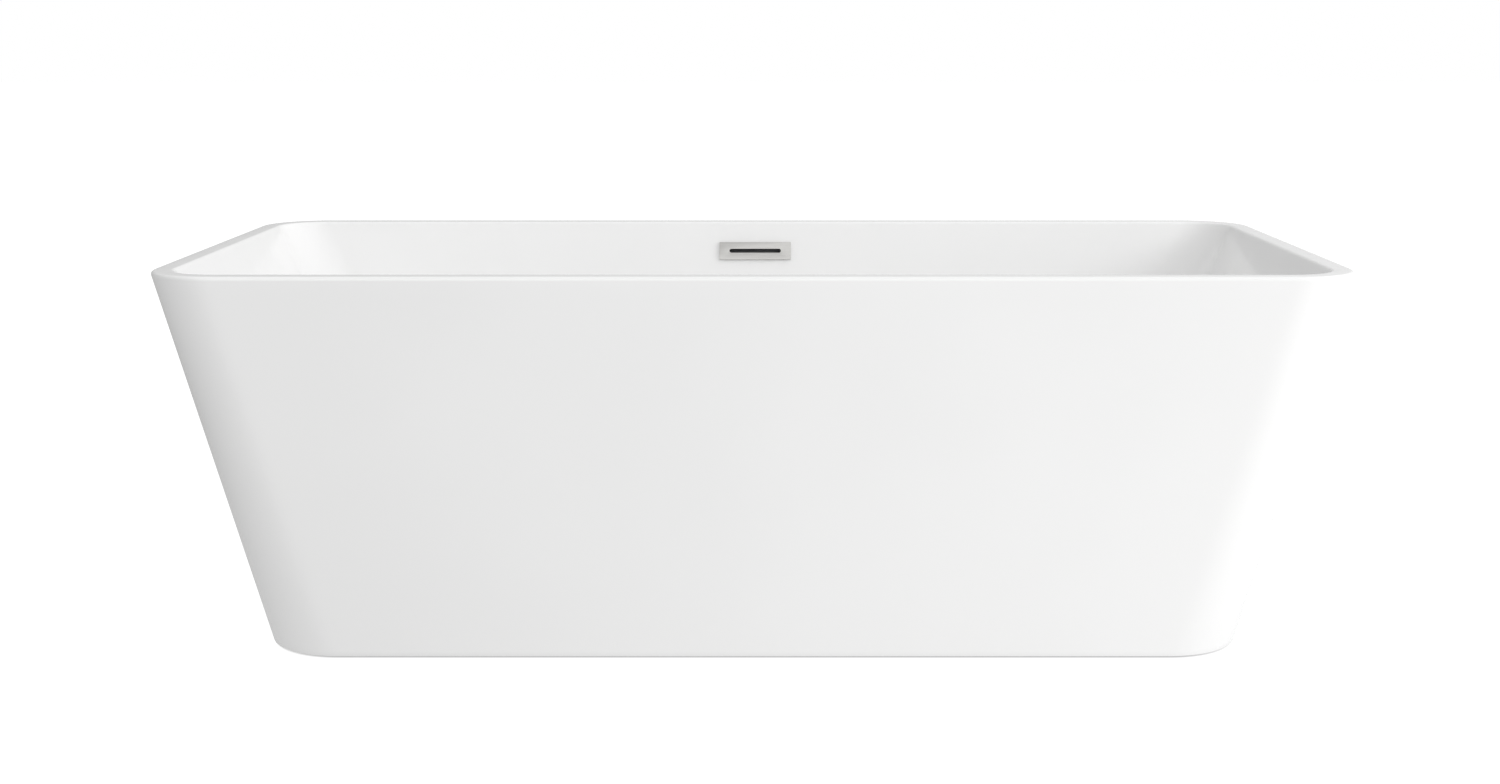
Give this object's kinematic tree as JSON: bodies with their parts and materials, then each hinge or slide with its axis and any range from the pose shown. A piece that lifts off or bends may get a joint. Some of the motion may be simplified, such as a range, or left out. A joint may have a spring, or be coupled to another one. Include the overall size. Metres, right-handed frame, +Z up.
{
  "type": "freestanding bathtub",
  "caption": "Freestanding white acrylic bathtub: rectangular, sides tapering to the floor, slim rim, slotted overflow plate, push drain stopper, levelling feet.",
  "frame": {"origin": "centre of the footprint, at floor level under the feet", "axes": "+X along the tub's length, +Y towards the overflow side, +Z up"},
  "size_m": [1.6998, 0.7998, 0.585],
  "materials": {
    "acrylic": "gloss white sanitary acrylic",
    "bonding_resin": "cured filled resin",
    "plywood": "plywood under laminating resin",
    "frame_steel": "galvanised steel tube",
    "zinc_steel": "bright zinc plate",
    "rubber": "matt black moulded rubber",
    "satin_chrome": "satin chrome plate",
    "brass": "turned brass",
    "waste_plastic": "moulded grey waste fitting plastic"
  },
  "bodies": {
    "root": {"base_board": "plywood", "drain_flange": "satin_chrome", "drain_flange_seal": "rubber", "drain_locknut": "waste_plastic", "drain_lower_gasket": "rubber", "drain_strainer": "brass", "drain_tee": "waste_plastic", "foot_1_locknut": "zinc_steel", "foot_1_weld_nut": "frame_steel", "foot_2_locknut": "zinc_steel", "foot_2_weld_nut": "frame_steel", "foot_3_locknut": "zinc_steel", "foot_3_weld_nut": "frame_steel", "foot_4_locknut": "zinc_steel", "foot_4_weld_nut": "frame_steel", "frame_crossbar_1": "frame_steel", "frame_crossbar_2": "frame_steel", "frame_crossbar_3": "frame_steel", "frame_crossbar_4": "frame_steel", "frame_rail_back": "frame_steel", "frame_rail_front": "frame_steel", "frame_screw_1": "zinc_steel", "frame_screw_2": "zinc_steel", "frame_screw_3": "zinc_steel", "frame_screw_4": "zinc_steel", "frame_screw_5": "zinc_steel", "frame_screw_6": "zinc_steel", "frame_screw_7": "zinc_steel", "frame_screw_8": "zinc_steel", "inner_shell": "acrylic", "outer_shell": "acrylic", "outlet_nut": "waste_plastic", "outlet_tailpiece": "waste_plastic", "overflow_coupling": "waste_plastic", "overflow_housing": "waste_plastic", "overflow_pipe": "waste_plastic", "overflow_plate": "satin_chrome", "overflow_port_nut": "waste_plastic", "overflow_seal": "rubber", "rim_bond": "bonding_resin", "skirt_bracket_1": "frame_steel", "skirt_bracket_2": "frame_steel", "skirt_bracket_3": "frame_steel", "skirt_bracket_4": "frame_steel", "stopper_cartridge": "brass"},
    "stopper": {"stopper_cap": "satin_chrome", "stopper_stem": "brass", "stopper_seal": "rubber", "stopper_retainer": "brass"},
    "foot_1": {"foot_1_pad": "rubber"},
    "foot_1_screw": {"foot_1_stud": "zinc_steel"},
    "foot_2": {"foot_2_pad": "rubber"},
    "foot_2_screw": {"foot_2_stud": "zinc_steel"},
    "foot_3": {"foot_3_pad": "rubber"},
    "foot_3_screw": {"foot_3_stud": "zinc_steel"},
    "foot_4": {"foot_4_pad": "rubber"},
    "foot_4_screw": {"foot_4_stud": "zinc_steel"}
  },
  "joints": [
    {"name": "stopper_press", "type": "slide", "parent": "root", "child": "stopper", "axis": [0, 0, 1], "range_m": [-0.009, 0], "stiffness_N_per_m": 400, "springref_m": 0.012},
    {"name": "foot_1_lift", "type": "slide", "parent": "root", "child": "foot_1", "axis": [0, 0, 1], "range_m": [-0.012, 0.006]},
    {"name": "foot_1_turn", "type": "hinge", "parent": "foot_1", "child": "foot_1_screw", "pos_m": [-0.48, -0.205, 0.015], "axis": [0, 0, 1], "range_deg": [-2470, 1236]},
    {"name": "foot_2_lift", "type": "slide", "parent": "root", "child": "foot_2", "axis": [0, 0, 1], "range_m": [-0.012, 0.006]},
    {"name": "foot_2_turn", "type": "hinge", "parent": "foot_2", "child": "foot_2_screw", "pos_m": [-0.48, 0.205, 0.015], "axis": [0, 0, 1], "range_deg": [-2470, 1236]},
    {"name": "foot_3_lift", "type": "slide", "parent": "root", "child": "foot_3", "axis": [0, 0, 1], "range_m": [-0.012, 0.006]},
    {"name": "foot_3_turn", "type": "hinge", "parent": "foot_3", "child": "foot_3_screw", "pos_m": [0.48, -0.205, 0.015], "axis": [0, 0, 1], "range_deg": [-2470, 1236]},
    {"name": "foot_4_lift", "type": "slide", "parent": "root", "child": "foot_4", "axis": [0, 0, 1], "range_m": [-0.012, 0.006]},
    {"name": "foot_4_turn", "type": "hinge", "parent": "foot_4", "child": "foot_4_screw", "pos_m": [0.48, 0.205, 0.015], "axis": [0, 0, 1], "range_deg": [-2470, 1236]}
  ],
  "couplings": [
    {"joint": "foot_1_turn", "follows": "foot_1_lift", "rad_per_m": 3590.4},
    {"joint": "foot_2_turn", "follows": "foot_2_lift", "rad_per_m": 3590.4},
    {"joint": "foot_3_turn", "follows": "foot_3_lift", "rad_per_m": 3590.4},
    {"joint": "foot_4_turn", "follows": "foot_4_lift", "rad_per_m": 3590.4}
  ]
}
